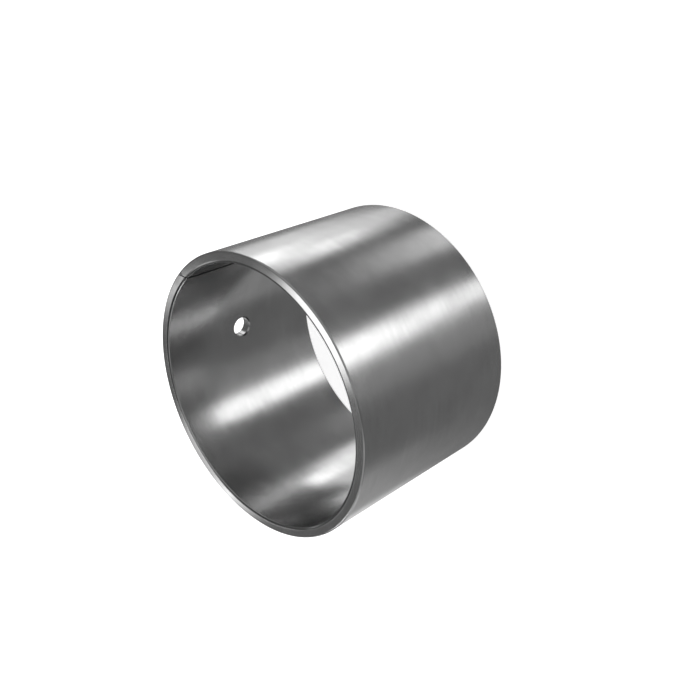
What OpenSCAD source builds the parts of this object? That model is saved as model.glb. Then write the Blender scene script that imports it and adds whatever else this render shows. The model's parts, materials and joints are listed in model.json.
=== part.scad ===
// Camshaft bushing: a plain bearing sleeve rolled from steel strip, with a straight split
// along its length, cut aslant through the wall, and one oil hole. It stands on its lower end,
// with the bore along +Z and the oil hole towards +X.

/* [Sleeve] */
// Diameter over the outside, which presses into the housing
outer_d = 65; // [50:0.5:90]
// Thickness of the rolled strip
wall = 2.5; // [1.8:0.1:5]
// Length of the sleeve from end to end
length = 45.2; // [25:0.1:80]

/* [Ends] */
// Width of the lead-in chamfer round the outside of each end
lead_in = 0.25; // [0.1:0.05:0.7]
// Width of the bevel round each mouth of the bore, across the end face
mouth_bevel = 0.65; // [0.2:0.05:0.8]
// Slope of that bevel, measured from the end face
mouth_slope = 16; // [10:1:50]

/* [Split] */
// Gap between the two edges of the strip, measured square to them
split_gap = 0.25; // [0.1:0.05:1]
// Chamfer on the long corners of the strip beside the gap
split_break = 0.15; // [0.05:0.05:0.4]
// Angle from the oil hole round to the split, where it opens in the bore
split_angle = 47.5; // [30:0.5:160]
// Lean of the split through the wall, from the radius towards the oil hole
split_lean = 45; // [0:5:50]

/* [Oil hole] */
// Diameter of the hole drilled through the wall
oil_d = 4.8; // [3:0.1:8]
// Chamfer that breaks the edges of the hole, inside and out
oil_break = 0.25; // [0.1:0.05:0.5]
// Distance of the hole above the middle of the length
oil_offset = 0; // [-6:0.5:6]

/* [Hidden] */
$fn = 128;
// How far a cutter runs past the face that it leaves
past = 1;
outer_r = outer_d / 2;
bore_r = outer_r - wall;
mouth_depth = mouth_bevel * tan(mouth_slope);
lean = tan(split_lean);
// Half of the gap, measured round the bore
half_gap = split_gap / 2 / cos(split_lean);
// How far out the middle of the split meets the curved outer wall
split_reach = sqrt(outer_r * outer_r * (1 + lean * lean) - lean * lean * bore_r * bore_r);
split_exit = (lean * lean * bore_r + split_reach) / (1 + lean * lean);
oil_r = oil_d / 2;
oil_z = length / 2 + oil_offset;
// Fall of the outer wall from the crown beside the hole to the hole's flanks
crown_fall = outer_r - sqrt(outer_r * outer_r - oil_r * oil_r);

// Section of the strip on one side of the axis, with both ends finished
module strip_section() {
    polygon([
        [bore_r, mouth_depth],
        [bore_r + mouth_bevel, 0],
        [outer_r - lead_in, 0],
        [outer_r, lead_in],
        [outer_r, length - lead_in],
        [outer_r - lead_in, length],
        [bore_r + mouth_bevel, length],
        [bore_r, length - mouth_depth],
    ]);
}

// Half of the split's outline: a parallel gap that opens at the bore and at the outer wall
function split_side(side) = [
    for (corner = [
        [bore_r - past, half_gap + split_break + past],
        [bore_r + split_break, half_gap],
        [split_exit - split_break, half_gap],
        [split_exit + past, half_gap + split_break + past],
    ])
        [corner.x, side * corner.y + lean * (corner.x - bore_r)]
];

module split_cut() {
    other_side = split_side(-1);
    translate([0, 0, -past])
        linear_extrude(height = length + 2 * past)
            polygon(concat(split_side(1), [for (i = [3:-1:0]) other_side[i]]));
}

// The strip rolled round, with its split at +X in the bore
module rolled_strip() {
    difference() {
        rotate_extrude()
            strip_section();
        split_cut();
    }
}

// Cone at 45 degrees that opens from the hole's own radius, along the hole's axis
module edge_break(depth) {
    cylinder(h = depth, r1 = oil_r, r2 = oil_r + depth);
}

module oil_cut() {
    translate([0, 0, oil_z])
        rotate([0, 90, 0]) {
            translate([0, 0, bore_r - past])
                cylinder(h = wall + 2 * past, r = oil_r);
            translate([0, 0, bore_r + oil_break])
                mirror([0, 0, 1])
                    edge_break(oil_break + past);
            translate([0, 0, outer_r - crown_fall - oil_break])
                edge_break(oil_break + crown_fall + past);
        }
}

module bushing() {
    color("silver")
        difference() {
            rotate([0, 0, -split_angle])
                rolled_strip();
            oil_cut();
        }
}

bushing();
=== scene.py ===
# Camshaft bushing in a white studio: a split steel sleeve with one oil hole through its wall.
import json
import math
import bpy
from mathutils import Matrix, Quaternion, Vector


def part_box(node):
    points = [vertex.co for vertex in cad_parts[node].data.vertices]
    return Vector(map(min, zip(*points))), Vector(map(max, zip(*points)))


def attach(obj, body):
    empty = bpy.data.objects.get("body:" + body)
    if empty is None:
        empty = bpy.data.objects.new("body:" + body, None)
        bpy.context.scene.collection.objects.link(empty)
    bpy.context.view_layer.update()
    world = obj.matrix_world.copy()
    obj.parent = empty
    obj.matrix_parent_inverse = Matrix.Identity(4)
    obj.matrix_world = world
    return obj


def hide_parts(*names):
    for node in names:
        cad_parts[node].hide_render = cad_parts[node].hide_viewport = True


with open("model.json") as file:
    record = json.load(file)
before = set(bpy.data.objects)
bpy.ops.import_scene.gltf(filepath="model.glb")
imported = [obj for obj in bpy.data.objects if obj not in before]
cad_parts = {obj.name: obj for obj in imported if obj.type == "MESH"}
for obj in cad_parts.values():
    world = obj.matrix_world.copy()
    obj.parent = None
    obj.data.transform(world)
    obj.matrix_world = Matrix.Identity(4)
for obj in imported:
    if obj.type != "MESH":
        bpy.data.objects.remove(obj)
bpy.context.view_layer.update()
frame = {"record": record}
lowCorner, highCorner = (Vector(corner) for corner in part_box("bushing"))
mounts = {mount["name"]: mount for mount in frame["record"]["mounts"]}
mm = 0.001


def addNode(tree, kind, feeds=None, **settings):
    # Adds a node with its settings, and feeds its inputs: a socket is linked and a value is set
    made = tree.nodes.new(kind)
    for name, value in settings.items():
        setattr(made, name, value)
    for name, value in (feeds or {}).items():
        if isinstance(value, bpy.types.NodeSocket):
            tree.links.new(value, made.inputs[name])
        else:
            made.inputs[name].default_value = value
    return made


def mathMaker(tree, kind):
    # Makes a function that adds one maths node to the tree and gives its result
    def calc(operation, *values):
        made = addNode(tree, kind, dict(enumerate(values)), operation=operation)
        return made.outputs[0]
    return calc


# Steel finishes

# Heights of the marks are in metres, and scales are per metre
wallLook = {
    "grey": (0.45, 0.54),
    "roughness": (0.21, 0.26),
    "cloudScale": 90,
    "waveScale": 170,
    "waveHeight": 0.015 * mm,
    "grainScale": 110,
    "grainStretch": (1, 1, 9),
    "grainHeight": 0.004 * mm,
    "streakShare": 0.24,
}
boreLook = {
    **wallLook,
    "grey": (0.43, 0.52),
    "roughness": (0.20, 0.25),
    "cloudScale": 80,
    "waveScale": 140,
    "waveHeight": 0.012 * mm,
}
endLook = {
    "grey": (0.41, 0.48),
    "roughness": (0.11, 0.14),
    "cloudScale": 160,
    "waveScale": 240,
    "waveHeight": 0.004 * mm,
    "grainScale": 400,
    "grainStretch": (1, 1, 1),
    "grainHeight": 0.0002 * mm,
    "streakShare": 0,
}
cutLook = {
    "grey": (0.39, 0.46),
    "roughness": (0.18, 0.23),
    "cloudScale": 200,
    "waveScale": 300,
    "waveHeight": 0.004 * mm,
    "grainScale": 700,
    "grainStretch": (1, 1, 1),
    "grainHeight": 0.0004 * mm,
    "streakShare": 0,
}
# The bevels at the mouths of the bore are darker than the flat ends
bevelLook = {**endLook, "grey": (0.2, 0.26)}
# The faces inside the split and on its broken edges are painted near black and rough: painted shade for
# the narrow gap
splitShadeLook = {**cutLook, "grey": (0.05, 0.09), "roughness": (0.45, 0.55)}
# What all the finishes share: how fine each noise is, and the part of its range that a look spreads out
noiseKinds = {
    "cloudDetail": 3,
    "glossDetail": 2,
    "streakDetail": 2,
    "waveDetail": 1,
    "glossFiner": 1.7,
    "low": 0.3,
    "high": 0.7,
}


def steelFinish(name, look):
    finish = bpy.data.materials.new(name)
    finish.use_nodes = True
    tree = finish.node_tree
    shader = tree.nodes["Principled BSDF"]
    place = addNode(tree, "ShaderNodeTexCoord").outputs["Object"]

    def noise(scale, detail, vector=place):
        feeds = {"Vector": vector, "Scale": scale, "Detail": detail}
        return addNode(tree, "ShaderNodeTexNoise", feeds).outputs["Fac"]

    def spread(value, low, high):
        return addNode(tree, "ShaderNodeMapRange", {
            "Value": value,
            "From Min": noiseKinds["low"],
            "From Max": noiseKinds["high"],
            "To Min": low,
            "To Max": high,
        }).outputs["Result"]

    # Cloudy surface: its grey and its gloss drift over a few millimetres, in clouds and streaks
    calc = mathMaker(tree, "ShaderNodeMath")
    stretched = addNode(tree, "ShaderNodeMapping", {"Vector": place, "Scale": look["grainStretch"]})
    streak = noise(look["grainScale"], noiseKinds["streakDetail"], stretched.outputs["Vector"])
    cloud = noise(look["cloudScale"], noiseKinds["cloudDetail"])
    shade = calc("MULTIPLY_ADD", calc("SUBTRACT", streak, cloud), look["streakShare"], cloud)
    grey = spread(shade, *look["grey"])
    tint = addNode(tree, "ShaderNodeCombineColor", {"Red": grey, "Green": grey, "Blue": grey})
    tree.links.new(tint.outputs["Color"], shader.inputs["Base Color"])
    glossCloud = noise(look["cloudScale"] * noiseKinds["glossFiner"], noiseKinds["glossDetail"])
    gloss = spread(glossCloud, *look["roughness"])
    tree.links.new(gloss, shader.inputs["Roughness"])
    # Long shallow waves bend the reflections, and fine tool marks run round the sleeve
    wave = addNode(tree, "ShaderNodeBump", {
        "Height": noise(look["waveScale"], noiseKinds["waveDetail"]),
        "Distance": look["waveHeight"],
    })
    marks = addNode(tree, "ShaderNodeBump", {
        "Height": streak,
        "Distance": look["grainHeight"],
        "Normal": wave.outputs["Normal"],
    })
    tree.links.new(marks.outputs["Normal"], shader.inputs["Normal"])
    shader.inputs["Metallic"].default_value = 1
    return finish


wallSteel = steelFinish("rolledSteel", wallLook)
boreSteel = steelFinish("boredSteel", boreLook)
endSteel = steelFinish("facedSteel", endLook)
cutSteel = steelFinish("cutSteel", cutLook)
bevelSteel = steelFinish("bevelSteel", bevelLook)
paintedSplitShade = steelFinish("paintedSplitShade", splitShadeLook)
print("steel finishes made")

# Sleeve, a section of the strip swept round and then cut by the split and the oil hole

oilFeed = mounts["oil_feed"]
# Lengths are in metres and angles in radians
sleeve = {
    "Outer Radius": highCorner.x,
    "Bore Radius": mounts["journal_bore"]["dims"]["r_mm"] * mm,
    "Length": highCorner.z - lowCorner.z,
    "Lead In": 0.25 * mm,
    "Mouth Bevel": 0.65 * mm,
    "Mouth Slope": math.radians(16),
    "Corner Radius": 0.3 * mm,  # of the rounding on the section, limited by its short sides
    "Split Gap": 0.25 * mm,
    "Split Break": 0.15 * mm,
    "Split Angle": math.radians(-47.5),
    "Split Lean": math.radians(45),
    "Oil Radius": oilFeed["dims"]["r_mm"] * mm,
    "Oil Break": 0.25 * mm,
    "Oil Height": oilFeed["pos_m"][2],
    "Past": 1 * mm,  # how far a cutter runs past a face
    "Around": 360,  # points round the circle
    "Rows": 30,  # rows of faces up each long side
    "Corner Steps": 5,
    "Hole Sides": 96,
    "Sharp Angle": math.radians(32),
    "Wall Finish": wallSteel,
    "Bore Finish": boreSteel,
    "End Finish": endSteel,
    "Cut Finish": cutSteel,
    "Bevel Finish": bevelSteel,
    "Split Painted Shade": paintedSplitShade,
}


def socketKind(value):
    if isinstance(value, bpy.types.Material):
        return "NodeSocketMaterial"
    return "NodeSocketInt" if isinstance(value, int) else "NodeSocketFloat"


def sleeveTree(sizes):
    tree = bpy.data.node_groups.new("splitSleeve", "GeometryNodeTree")
    for name, value in sizes.items():
        tree.interface.new_socket(name, in_out="INPUT", socket_type=socketKind(value))
    tree.interface.new_socket("Geometry", in_out="OUTPUT", socket_type="NodeSocketGeometry")
    given = addNode(tree, "NodeGroupInput").outputs
    calc = mathMaker(tree, "ShaderNodeMath")
    vectorCalc = mathMaker(tree, "ShaderNodeVectorMath")
    index = addNode(tree, "GeometryNodeInputIndex").outputs[0]
    position = addNode(tree, "GeometryNodeInputPosition").outputs[0]

    def point(x=0.0, y=0.0, z=0.0):
        return addNode(tree, "ShaderNodeCombineXYZ", {"X": x, "Y": y, "Z": z}).outputs[0]

    def outline(corners):
        # A closed curve with one point for each corner
        circle = addNode(tree, "GeometryNodeCurvePrimitiveCircle", {"Resolution": len(corners)})
        choice = addNode(tree, "GeometryNodeIndexSwitch", data_type="VECTOR")
        while len(choice.index_switch_items) < len(corners):
            choice.index_switch_items.new()
        tree.links.new(index, choice.inputs["Index"])
        for number, (x, y) in enumerate(corners):
            tree.links.new(point(x, y), choice.inputs[number + 1])
        feeds = {"Geometry": circle.outputs["Curve"], "Position": choice.outputs[0]}
        return addNode(tree, "GeometryNodeSetPosition", feeds).outputs[0]

    def sweep(path, section, caps):
        feeds = {"Curve": path, "Profile Curve": section, "Fill Caps": caps}
        return addNode(tree, "GeometryNodeCurveToMesh", feeds).outputs[0]

    def place(geometry, **moves):
        feeds = {"Geometry": geometry, **moves}
        return addNode(tree, "GeometryNodeTransform", feeds).outputs[0]

    # Section of the strip, with its bevels, its corners slightly rounded and its long sides in rows
    thickness = calc("SUBTRACT", given["Outer Radius"], given["Bore Radius"])
    bevelDepth = calc("MULTIPLY", given["Mouth Bevel"], calc("TANGENT", given["Mouth Slope"]))
    leadStart = calc("SUBTRACT", thickness, given["Lead In"])
    section = outline([
        (0, bevelDepth),
        (given["Mouth Bevel"], 0),
        (leadStart, 0),
        (thickness, given["Lead In"]),
        (thickness, calc("SUBTRACT", given["Length"], given["Lead In"])),
        (leadStart, given["Length"]),
        (given["Mouth Bevel"], given["Length"]),
        (0, calc("SUBTRACT", given["Length"], bevelDepth)),
    ])
    rounded = addNode(tree, "GeometryNodeFilletCurve", {
        "Curve": section,
        "Count": given["Corner Steps"],
        "Radius": given["Corner Radius"],
        "Limit Radius": True,
    }, mode="POLY").outputs[0]
    following = addNode(tree, "GeometryNodeOffsetPointInCurve", {"Point Index": index, "Offset": 1})
    nextPlace = addNode(tree, "GeometryNodeFieldAtIndex", {
        "Index": following.outputs["Point Index"],
        "Value": position,
    }, data_type="FLOAT_VECTOR").outputs[0]
    stretch = addNode(tree, "ShaderNodeVectorMath", {0: nextPlace, 1: position}, operation="DISTANCE")
    isLong = calc("GREATER_THAN", stretch.outputs["Value"], thickness)
    cuts = calc("MULTIPLY", isLong, calc("SUBTRACT", given["Rows"], 1))
    inRows = addNode(tree, "GeometryNodeSubdivideCurve", {"Curve": rounded, "Cuts": cuts}).outputs[0]

    # The ring: the section faces outwards along the path, with its heights counted down from the top
    path = addNode(tree, "GeometryNodeCurvePrimitiveCircle", {
        "Resolution": given["Around"],
        "Radius": given["Bore Radius"],
    }).outputs["Curve"]
    upright = addNode(tree, "GeometryNodeSetCurveNormal", {"Curve": path}, mode="Z_UP").outputs[0]
    ring = place(sweep(upright, inRows, False), Translation=point(z=given["Length"]))

    # The split: a parallel gap that leans through the wall and opens at the bore and outside
    lean = calc("TANGENT", given["Split Lean"])
    leanSquared = calc("MULTIPLY", lean, lean)
    slant = calc("ADD", leanSquared, 1)
    boreTerm = calc("MULTIPLY", leanSquared, given["Bore Radius"])
    outerSquared = calc("POWER", given["Outer Radius"], 2)
    outerTerm = calc("MULTIPLY", slant, outerSquared)
    reach = calc("SQRT", calc("SUBTRACT", outerTerm, calc("MULTIPLY", boreTerm, given["Bore Radius"])))
    splitExit = calc("DIVIDE", calc("ADD", boreTerm, reach), slant)
    halfGap = calc("DIVIDE", calc("DIVIDE", given["Split Gap"], 2), calc("COSINE", given["Split Lean"]))
    openHalf = calc("ADD", halfGap, given["Split Break"])
    mouth = calc("ADD", openHalf, given["Past"])
    halfSplit = [
        (calc("SUBTRACT", given["Bore Radius"], given["Past"]), mouth),
        (calc("ADD", given["Bore Radius"], given["Split Break"]), halfGap),
        (calc("SUBTRACT", splitExit, given["Split Break"]), halfGap),
        (calc("ADD", splitExit, given["Past"]), mouth),
    ]

    def splitSide(side):
        corners = []
        for x, y in halfSplit:
            shift = calc("MULTIPLY", calc("SUBTRACT", x, given["Bore Radius"]), lean)
            corners.append((x, calc("MULTIPLY_ADD", y, side, shift)))
        return corners

    pastEnds = addNode(tree, "GeometryNodeCurvePrimitiveLine", {
        "Start": point(z=calc("MULTIPLY", given["Past"], -1)),
        "End": point(z=calc("ADD", given["Length"], given["Past"])),
    }).outputs[0]
    splitCutter = sweep(pastEnds, outline(splitSide(-1) + splitSide(1)[::-1]), True)
    splitCutter = place(splitCutter, Rotation=point(z=given["Split Angle"]))

    # The oil hole: a drill and two cones along +X, so the broken edges follow the curved wall
    def alongX(shape, start, turn):
        return place(shape, Translation=point(x=start, z=given["Oil Height"]), Rotation=(0, turn, 0))

    def opening(depth):
        return addNode(tree, "GeometryNodeMeshCone", {
            "Vertices": given["Hole Sides"],
            "Radius Bottom": given["Oil Radius"],
            "Radius Top": calc("ADD", given["Oil Radius"], depth),
            "Depth": depth,
        }).outputs["Mesh"]

    oilSquared = calc("POWER", given["Oil Radius"], 2)
    flankReach = calc("SQRT", calc("SUBTRACT", outerSquared, oilSquared))
    drill = addNode(tree, "GeometryNodeMeshCylinder", {
        "Vertices": given["Hole Sides"],
        "Radius": given["Oil Radius"],
        "Depth": calc("ADD", thickness, calc("MULTIPLY", given["Past"], 2)),
    }).outputs["Mesh"]
    middle = calc("DIVIDE", calc("ADD", given["Outer Radius"], given["Bore Radius"]), 2)
    innerStart = calc("ADD", given["Bore Radius"], given["Oil Break"])
    outerStart = calc("SUBTRACT", flankReach, given["Oil Break"])
    innerDepth = calc("ADD", given["Oil Break"], given["Past"])
    outerDepth = calc("SUBTRACT", calc("ADD", given["Outer Radius"], given["Past"]), outerStart)
    oilCutters = [
        alongX(drill, middle, math.pi / 2),
        alongX(opening(innerDepth), innerStart, -math.pi / 2),
        alongX(opening(outerDepth), outerStart, math.pi / 2),
    ]

    cut = addNode(tree, "GeometryNodeMeshBoolean", {
        "Mesh 1": ring,
    }, operation="DIFFERENCE", solver="EXACT")
    for cutter in [splitCutter, *oilCutters]:
        tree.links.new(cutter, cut.inputs["Mesh 2"])

    # Smooth faces, with the edges of the cuts left sharp
    smooth = addNode(tree, "GeometryNodeSetShadeSmooth", {"Geometry": cut.outputs["Mesh"]}).outputs[0]
    edgeAngle = addNode(tree, "GeometryNodeInputMeshEdgeAngle").outputs["Unsigned Angle"]
    isSharp = calc("GREATER_THAN", edgeAngle, given["Sharp Angle"])
    feeds = {"Geometry": smooth, "Selection": isSharp, "Shade Smooth": False}
    crisp = addNode(tree, "GeometryNodeSetShadeSmooth", feeds, domain="EDGE").outputs[0]

    # Each surface has its own finish, told apart by how nearly it faces along the radius or the axis
    facings = {"wall": 0.98, "end": 0.995, "bevel": 0.9, "aside": 0.1}
    facing = addNode(tree, "GeometryNodeInputNormal").outputs[0]
    flat = vectorCalc("MULTIPLY", position, (1, 1, 0))
    outward = vectorCalc("NORMALIZE", flat)
    radial = addNode(tree, "ShaderNodeVectorMath", {0: facing, 1: outward}, operation="DOT_PRODUCT")
    radial = radial.outputs["Value"]
    upward = addNode(tree, "ShaderNodeSeparateXYZ", {0: facing}).outputs["Z"]
    # Faces inside the split and on its broken edges, which get the painted shade of the gap
    turnBack = calc("MULTIPLY", given["Split Angle"], -1)
    fromSplit = addNode(tree, "ShaderNodeVectorRotate", {
        "Vector": position,
        "Angle": turnBack,
    }, rotation_type="Z_AXIS").outputs[0]
    parts = addNode(tree, "ShaderNodeSeparateXYZ", {0: fromSplit}).outputs
    leanHere = calc("MULTIPLY", calc("SUBTRACT", parts["X"], given["Bore Radius"]), lean)
    away = calc("ABSOLUTE", calc("SUBTRACT", parts["Y"], leanHere))
    splitShadeMask = calc("MULTIPLY", calc("LESS_THAN", away, openHalf), calc("GREATER_THAN", parts["X"], 0))
    steep = calc("ABSOLUTE", upward)
    splitShadeMask = calc("MULTIPLY", splitShadeMask, calc("LESS_THAN", steep, facings["aside"]))
    facesBore = calc("LESS_THAN", radial, -facings["aside"])
    onBevel = calc("MULTIPLY", calc("GREATER_THAN", steep, facings["bevel"]), facesBore)
    shown = addNode(tree, "GeometryNodeRealizeInstances", {"Geometry": crisp}).outputs[0]
    for finish, chosen in [
        ("Cut Finish", True),
        ("Split Painted Shade", splitShadeMask),
        ("Wall Finish", calc("GREATER_THAN", radial, facings["wall"])),
        ("Bore Finish", calc("LESS_THAN", radial, -facings["wall"])),
        ("Bevel Finish", onBevel),
        ("End Finish", calc("GREATER_THAN", steep, facings["end"])),
    ]:
        feeds = {"Geometry": shown, "Selection": chosen, "Material": given[finish]}
        shown = addNode(tree, "GeometryNodeSetMaterial", feeds).outputs[0]
    addNode(tree, "NodeGroupOutput", {"Geometry": shown})
    return tree


def settle(piece):
    # Turns what the modifiers give into the piece's own plain mesh
    evaluated = piece.evaluated_get(bpy.context.evaluated_depsgraph_get())
    plain = bpy.data.meshes.new_from_object(evaluated)
    piece.modifiers.clear()
    piece.data = plain
    plain.name = piece.name


def makeSleeve(sizes):
    piece = bpy.data.objects.new("split_sleeve", bpy.data.meshes.new("split_sleeve"))
    bpy.context.scene.collection.objects.link(piece)
    tree = sleeveTree(sizes)
    build = piece.modifiers.new("splitSleeve", "NODES")
    build.node_group = tree
    for item in tree.interface.items_tree:
        if item.in_out == "INPUT":
            build[item.identifier] = sizes[item.name]
    settle(piece)
    # Large faces keep their own direction, so that the flat ends and the walls shade true
    even = piece.modifiers.new("evenShading", "WEIGHTED_NORMAL")
    even.keep_sharp = True
    settle(piece)
    return piece


sleevePiece = makeSleeve(sleeve)
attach(sleevePiece, "root")
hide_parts("bushing")
print("sleeve made,", len(sleevePiece.data.polygons), "faces")

# Camera, at the photograph's place and turned as it was held

camera = {
    "place": (-0.12601, -0.09206, 0.14982),
    "aim": (0.00317, 0, 0.0226),
    "roll": -114.38,
    "lens": 44.89,
    "shiftX": 0.04742,
    "shiftY": 0.0153,
    "nearest": 0.01,
}


def makeCamera(held):
    data = bpy.data.cameras.new("studioCamera")
    data.lens = held["lens"]
    data.shift_x = held["shiftX"]
    data.shift_y = held["shiftY"]
    data.dof.use_dof = False
    data.clip_start = held["nearest"]
    view = bpy.data.objects.new("studioCamera", data)
    bpy.context.scene.collection.objects.link(view)
    place = Vector(held["place"])
    ahead = Vector(held["aim"]) - place
    level = ahead.to_track_quat("-Z", "Y")
    view.location = place
    view.rotation_mode = "QUATERNION"
    view.rotation_quaternion = level @ Quaternion((0, 0, 1), math.radians(held["roll"]))
    bpy.context.scene.camera = view


makeCamera(camera)
bpy.context.scene.view_settings.view_transform = "Standard"
print("camera set")

# Studio: a white floor, a tent of light boxes round the sleeve, one lamp and an even sky

middleHeight = (lowCorner.z + highCorner.z) / 2

# Each box has its azimuth, half its width, its elevation, half its height and the width of its
# soft edge, all in degrees as seen from the sleeve, and then its level
tent = {
    "radius": 1.0,
    "columns": 72,
    "rows": 36,
    "base": 0.2,
    "boxes": {
        "frontStrip": (-143, 9, -34, 9, 8, 2.6),
        "frontLow": (-138.5, 8.5, -51, 8, 8, 1.5),
        "frontGlow": (-158, 22, -41, 20, 16, 0.17),
        "rightStrip": (-51.2, 7.5, -40.6, 3, 5, 2.6),
        "rightBore": (-42.5, 7, -34.5, 3.3, 5, 2.7),
        "rightLow": (-33, 10, -47, 4, 8, 0.7),
        "rightBoard": (-26, 16, -37, 6, 10, 0.95),
        "lowBoard": (-82, 13, -53, 7, 10, 1.3),
        "backdrop": (34, 22, -35, 10, 18, 0.14),
        "backBoard": (66, 8, -33, 7, 8, 0.8),
        "leftBoard": (101, 24, -34, 6, 12, 0.28),
        "endBox": (32.5, 5.8, 51.6, 11.8, 2.5, 2.6),
        "farBox": (40.5, 5, 31, 4, 3, 0.9),
        "farSpot": (42.6, 0.9, 32, 3.4, 1.5, 1.7),
        "sideSpot": (24.3, 1.3, 32.4, 1.5, 1.8, 1.6),
        "edgeSpot": (76, 6, 33, 6, 2, 6.0),
        "frontUpper": (-143, 9, -7, 14, 8, 1.8),
        "rightUpper": (-45, 11, -7, 14, 8, 1.6),
        "backUpper": (45, 25, -7, 14, 16, 0.5),
        "leftUpper": (110, 12, -7, 14, 10, 1.2),
        "frontTop": (-110, 65, 30, 25, 14, 0.35),
        "leftTop": (120, 38, 30, 25, 14, 0.35),
        "topBox": (0, 180, 84, 14, 12, 0.6),
    },
}


def boxLevel():
    # One light box as a group: 1 inside it and 0 outside, with smooth edges
    group = bpy.data.node_groups.new("lightBox", "ShaderNodeTree")
    for name in ["Azimuth", "Elevation", "At", "Half Width", "Height", "Half Height", "Edge"]:
        group.interface.new_socket(name, in_out="INPUT", socket_type="NodeSocketFloat")
    group.interface.new_socket("Level", in_out="OUTPUT", socket_type="NodeSocketFloat")
    given = addNode(group, "NodeGroupInput").outputs
    calc = mathMaker(group, "ShaderNodeMath")

    def inside(away, half):
        edge = calc("MULTIPLY", given["Edge"], 0.5)
        return addNode(group, "ShaderNodeMapRange", {
            "Value": calc("ABSOLUTE", away),
            "From Min": calc("ADD", half, edge),
            "From Max": calc("SUBTRACT", half, edge),
        }, interpolation_type="SMOOTHSTEP").outputs["Result"]

    across = calc("WRAP", calc("SUBTRACT", given["Azimuth"], given["At"]), 180, -180)
    above = calc("SUBTRACT", given["Elevation"], given["Height"])
    both = calc("MULTIPLY", inside(across, given["Half Width"]), inside(above, given["Half Height"]))
    addNode(group, "NodeGroupOutput", {"Level": both})
    return group


def tentGlow(plan):
    glow = bpy.data.materials.new("tentGlow")
    glow.use_nodes = True
    glow.cycles.emission_sampling = "NONE"
    tree = glow.node_tree
    tree.nodes.clear()
    calc = mathMaker(tree, "ShaderNodeMath")
    place = addNode(tree, "ShaderNodeTexCoord").outputs["Object"]
    towards = addNode(tree, "ShaderNodeVectorMath", {0: place}, operation="NORMALIZE").outputs[0]
    parts = addNode(tree, "ShaderNodeSeparateXYZ", {0: towards}).outputs
    azimuth = calc("DEGREES", calc("ARCTAN2", parts["Y"], parts["X"]))
    elevation = calc("DEGREES", calc("ARCSINE", parts["Z"]))
    shape = boxLevel()
    total = plan["base"]
    for name, (at, halfWidth, height, halfHeight, edge, level) in plan["boxes"].items():
        box = addNode(tree, "ShaderNodeGroup", {
            "Azimuth": azimuth,
            "Elevation": elevation,
            "At": at,
            "Half Width": halfWidth,
            "Height": height,
            "Half Height": halfHeight,
            "Edge": edge,
        }, node_tree=shape, label=name)
        total = calc("MULTIPLY_ADD", box.outputs["Level"], level, total)
    light = addNode(tree, "ShaderNodeEmission", {"Color": (1, 1, 1, 1), "Strength": total})
    addNode(tree, "ShaderNodeOutputMaterial", {"Surface": light.outputs[0]})
    return glow


def makeTent(plan):
    # Seen only in the steel: the camera looks through it, and it lays no light or shadow on the floor
    columns, rows = plan["columns"], plan["rows"]
    corners, faces = [], []
    for row in range(rows + 1):
        rise = math.radians(-90 + 180 * row / rows)
        flat = plan["radius"] * math.cos(rise)
        height = plan["radius"] * math.sin(rise)
        for column in range(columns):
            turn = 2 * math.pi * column / columns
            corners.append((flat * math.cos(turn), flat * math.sin(turn), height))
    for row in range(rows):
        for column in range(columns):
            here = row * columns + column
            beside = row * columns + (column + 1) % columns
            faces.append((here, here + columns, beside + columns, beside))
    mesh = bpy.data.meshes.new("studio_tent")
    mesh.from_pydata(corners, [], faces)
    mesh.materials.append(tentGlow(plan))
    tentPiece = bpy.data.objects.new("studio_tent", mesh)
    tentPiece.location.z = middleHeight
    bpy.context.scene.collection.objects.link(tentPiece)
    tentPiece.visible_camera = False
    tentPiece.visible_diffuse = False
    tentPiece.visible_transmission = False
    tentPiece.visible_volume_scatter = False
    tentPiece.visible_shadow = False
    return tentPiece


floor = {
    "size": 6.0,
    "drop": 0.02 * mm,
    "colour": 0.8,
    "glow": 0.8,
}


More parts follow.
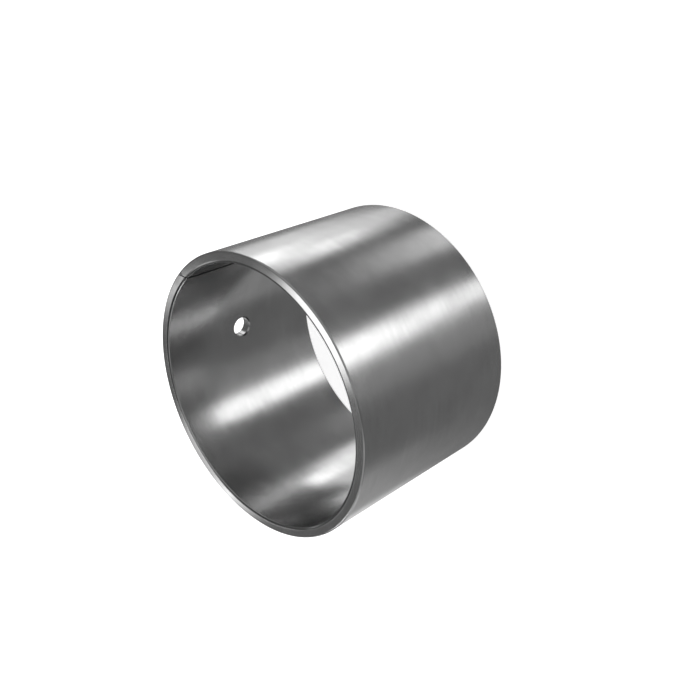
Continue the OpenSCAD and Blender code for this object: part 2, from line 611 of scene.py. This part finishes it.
def makeFloor(plan):
    paint = bpy.data.materials.new("whiteFloor")
    paint.use_nodes = True
    tree = paint.node_tree
    tree.nodes.clear()
    calc = mathMaker(tree, "ShaderNodeMath")
    ray = addNode(tree, "ShaderNodeLightPath").outputs
    lit = addNode(tree, "ShaderNodeBsdfDiffuse", {"Color": (*[plan["colour"]] * 3, 1)})
    straight = calc("MAXIMUM", ray["Is Camera Ray"], ray["Is Transmission Ray"])
    glow = addNode(tree, "ShaderNodeEmission", {"Strength": calc("MULTIPLY", straight, plan["glow"])})
    white = addNode(tree, "ShaderNodeAddShader", {0: lit.outputs[0], 1: glow.outputs[0]})
    # Reflections look through the floor to the tent, since the photograph has nothing under the sleeve
    clear = addNode(tree, "ShaderNodeBsdfTransparent")
    mixed = addNode(tree, "ShaderNodeMixShader", {
        0: ray["Is Glossy Ray"],
        1: white.outputs[0],
        2: clear.outputs[0],
    })
    addNode(tree, "ShaderNodeOutputMaterial", {"Surface": mixed.outputs[0]})
    half = plan["size"] / 2
    level = lowCorner.z - plan["drop"]
    corners = [(x * half, y * half, level) for x, y in [(-1, -1), (1, -1), (1, 1), (-1, 1)]]
    mesh = bpy.data.meshes.new("studio_floor")
    mesh.from_pydata(corners, [], [(0, 1, 2, 3)])
    mesh.materials.append(paint)
    floorPiece = bpy.data.objects.new("studio_floor", mesh)
    bpy.context.scene.collection.objects.link(floorPiece)
    return floorPiece


# The lamp hangs at an azimuth and an elevation in degrees, and lights the floor for the shadow
floorLamp = {"azimuth": 26, "elevation": 62, "distance": 0.6, "size": 0.3, "power": 1.6}


def makeLamp(name, plan):
    data = bpy.data.lights.new(name, "AREA")
    data.shape = "DISK"
    data.size = plan["size"]
    data.energy = plan["power"]
    lamp = bpy.data.objects.new(name, data)
    bpy.context.scene.collection.objects.link(lamp)
    rise, turn = math.radians(plan["elevation"]), math.radians(plan["azimuth"])
    towards = Vector((math.cos(rise) * math.cos(turn), math.cos(rise) * math.sin(turn), math.sin(rise)))
    lamp.location = Vector((0, 0, middleHeight)) + towards * plan["distance"]
    lamp.rotation_euler = towards.to_track_quat("Z", "Y").to_euler()
    lamp.visible_glossy = False


# The sky lights the floor at one level, and the camera and the steel see it at another
sky = {"light": 0.5, "seen": 1}


def makeSky(plan):
    world = bpy.data.worlds.new("studioSky")
    world.use_nodes = True
    tree = world.node_tree
    calc = mathMaker(tree, "ShaderNodeMath")
    ray = addNode(tree, "ShaderNodeLightPath").outputs
    seen = calc("MAXIMUM", ray["Is Camera Ray"], ray["Is Transmission Ray"])
    seen = calc("MAXIMUM", seen, ray["Is Glossy Ray"])
    strength = addNode(tree, "ShaderNodeMapRange", {
        "Value": seen,
        "To Min": plan["light"],
        "To Max": plan["seen"],
    })
    background = tree.nodes["Background"]
    background.inputs["Color"].default_value = (1, 1, 1, 1)
    tree.links.new(strength.outputs["Result"], background.inputs["Strength"])
    bpy.context.scene.world = world


makeTent(tent)
makeFloor(floor)
makeLamp("floorLamp", floorLamp)
makeSky(sky)
print("studio set")
